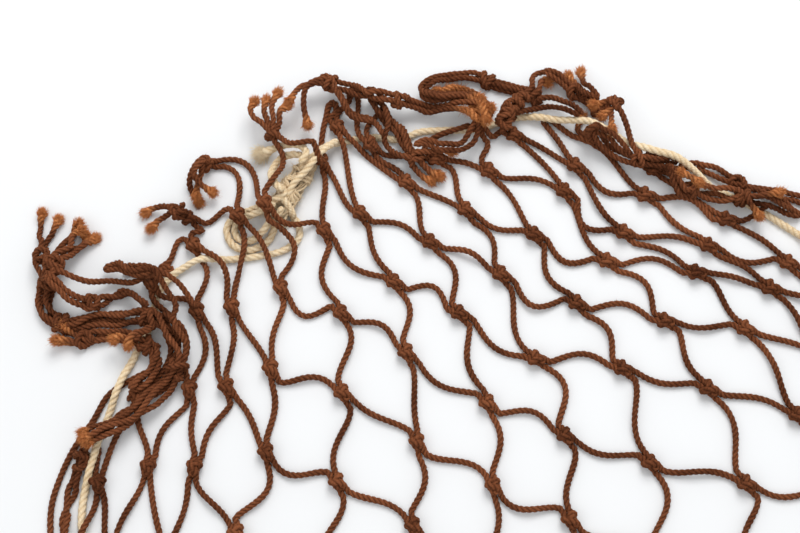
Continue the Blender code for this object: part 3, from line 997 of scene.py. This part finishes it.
def make_ropes(ropes, look):
    """The rope, its bights and its free end, each with its fuzz as a second piece."""
    for name, path in ropes.items():
        loose = name == "rope_free_end"
        heap, fringe = Heap(), Heap()
        heap.cord(path, ROPE * PLUMP, ROPE_LAY, end_tip=TIP * loose, flare=0.5, **ROPE_LOOK)
        fringe.fuzz(path, ROPE * PLUMP, **ROPE_FUZZ)
        if loose:
            fringe.frayed_rope(path)
        piece = heap.build(f"{name}_twisted", look)
        fuzz = fringe.build(f"{name}_fuzz", look)
        nodes = [name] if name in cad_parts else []  # the inner bight has no solid
        finish_piece(piece, "margin_rope", *nodes)
        finish_piece(fuzz, "margin_rope")
        laid.append((path, ROPE / 2))


def make_rope_knot(look):
    """The rope's loosened strands, turns of them round the middle, and its two ends on top."""
    along = ROPE_KNOT_AXIS
    across = np.array([-along[1], along[0], 0.0])
    up = np.array([0.0, 0.0, 1.0])
    middle = np.array([*ROPE_KNOT_PLACE, 4.6])
    half_length, points = 19, 9
    coil_width, coil_height, coil_points = 6.2, 4.2, 60
    heap = Heap()
    shares = np.linspace(-1, 1, points)
    spread = np.interp(shares, [-1, -0.3, 0.4, 1], [6.4, 5.4, 4.6, 3.0])
    for n in range(ROPE_KNOT_STRANDS):
        around = 2.4 * n + 1.3 * shares + wander(points, 0.4, 3)
        out = spread * math.sqrt(rng.uniform(0.15, 1))
        strand = middle + half_length * shares[:, None] * along
        strand = strand + (out * np.cos(around))[:, None] * across * 1.15
        strand[:, 2] += 0.7 * out * np.sin(around) - 2.0 * shares**2
        strand += rng.normal(0, 0.5, (points, 3))
        strand = smooth(strand[rng.integers(0, 3) :], 0.8)
        strand[:, 2] = np.maximum(strand[:, 2], 0.7)
        heap.cord(strand, rng.uniform(1.0, 1.6), lay=6, start_tip=6.0, sides=12, flare=0.3)
        heap.fuzz(strand, 1.4, 0.5, 2.2, 0.1)
        heap.brush(strand[0], strand[0] - strand[4], 1.6, 3.0, 40, 0.2)
    for start, slant in KNOT_COILS:
        turn = np.linspace(0, 2.1 * math.pi, coil_points)[:, None]
        size = 1 - 0.02 * abs(start)
        coil = middle + (start + slant * np.cos(turn) + turn * 0.2) * along
        coil = coil + size * coil_width * np.cos(turn) * across
        coil = coil + size * coil_height * np.sin(turn) * up
        coil += wander(coil_points, 0.3, 8)[:, None] * along
        coil[:, 2] = np.maximum(coil[:, 2], 1.0)
        heap.cord(resampled(coil, 0.8), rng.uniform(1.7, 2.1), lay=8, sides=12)
        heap.fuzz(coil, 1.9, 0.25, 1.8, 0.1)
    for route in KNOT_LEADS:
        lead = smooth(route, FINE)
        heap.cord(lead, ROPE * PLUMP, ROPE_LAY, **ROPE_LOOK)
        heap.fuzz(lead, ROPE * PLUMP, **ROPE_FUZZ)
    finish_piece(heap.build("rope_big_knot", look), "margin_rope", "rope_knot")
    laid.append((middle + np.linspace(-12, 12, 13)[:, None] * along, 4.6))


# Stage ----------------


def make_floor():
    bpy.ops.mesh.primitive_plane_add(size=6, location=(0, 0, 0))
    floor = bpy.context.object
    floor.name = "floor"
    floor.data.materials.append(floor_material())


def make_camera():
    """Looks down steeply at the net's upper left part."""
    aim = np.array([-0.0327, 0.0992, 0.0])
    tilt, distance = math.radians(72), 0.722
    data = bpy.data.cameras.new("camera")
    data.lens = 65
    data.sensor_width = 36
    camera = bpy.data.objects.new("camera", data)
    camera.location = aim + distance * np.array([0, -math.cos(tilt), math.sin(tilt)])
    camera.rotation_euler = (math.pi / 2 - tilt, 0, 0)
    bpy.context.scene.collection.objects.link(camera)
    bpy.context.scene.camera = camera


def make_lights():
    """Two soft lights and a pale surround."""
    for name, place, turn, size, power in (
        ("key_light", (0.2, 1.0, 1.4), (-0.6, 0.13, 0), 1.0, 18),
        ("fill_light", (-0.9, -0.6, 1.6), (0.35, -0.5, 0), 1.6, 5),
    ):
        data = bpy.data.lights.new(name, "AREA")
        data.size = size
        data.energy = power
        light = bpy.data.objects.new(name, data)
        light.location = place
        light.rotation_euler = turn
        bpy.context.scene.collection.objects.link(light)
    world = bpy.data.worlds.new("studio")
    bpy.context.scene.world = world
    world.use_nodes = True
    backdrop = world.node_tree.nodes["Background"]
    backdrop.inputs["Color"].default_value = (0.97, 0.985, 1.0, 1)
    backdrop.inputs["Strength"].default_value = 0.70
    bpy.context.scene.view_settings.view_transform = "Standard"


def main():
    make_floor()
    make_camera()
    make_lights()
    # The colours given for the grooves of the twine and the rope are painted shade between the
    # strands.
    twine = cord_material(
        "tanned_twine", dark=(0.068, 0.017, 0.006), light=(0.31, 0.103, 0.042),
        tip_dark=(0.45, 0.14, 0.04), tip_light=(0.70, 0.29, 0.105), groove_shade=(0.28, 0.22, 0.18),
        yarns=(3.0, 0.9), roughness=0.85, sheen=0.12,
    )
    rope_look = cord_material(
        "cotton_rope", dark=(0.74, 0.55, 0.33), light=(0.97, 0.81, 0.57),
        tip_dark=(0.86, 0.68, 0.44), tip_light=(0.95, 0.82, 0.60), groove_shade=(0.76, 0.66, 0.53),
        yarns=(4.0, 0.7), roughness=0.8, sheen=0.25,
    )
    paths = netting_paths()
    laid.extend((path, TWINE / 2) for path in paths.values())
    beneath = {name: gather_path(name) for name in UNDER_ROPE}
    ropes = weave(paths, [(path, gather_radius(name)) for name, path in beneath.items()])
    for row, path in paths.items():
        make_row(row, path, twine)
    for name, path in beneath.items():
        make_gather(name, path, twine)
    make_ropes(ropes, rope_look)
    make_rope_knot(rope_look)
    for name in GATHERS:
        if name not in UNDER_ROPE:
            make_gather(name, gather_path(name), twine)


main()
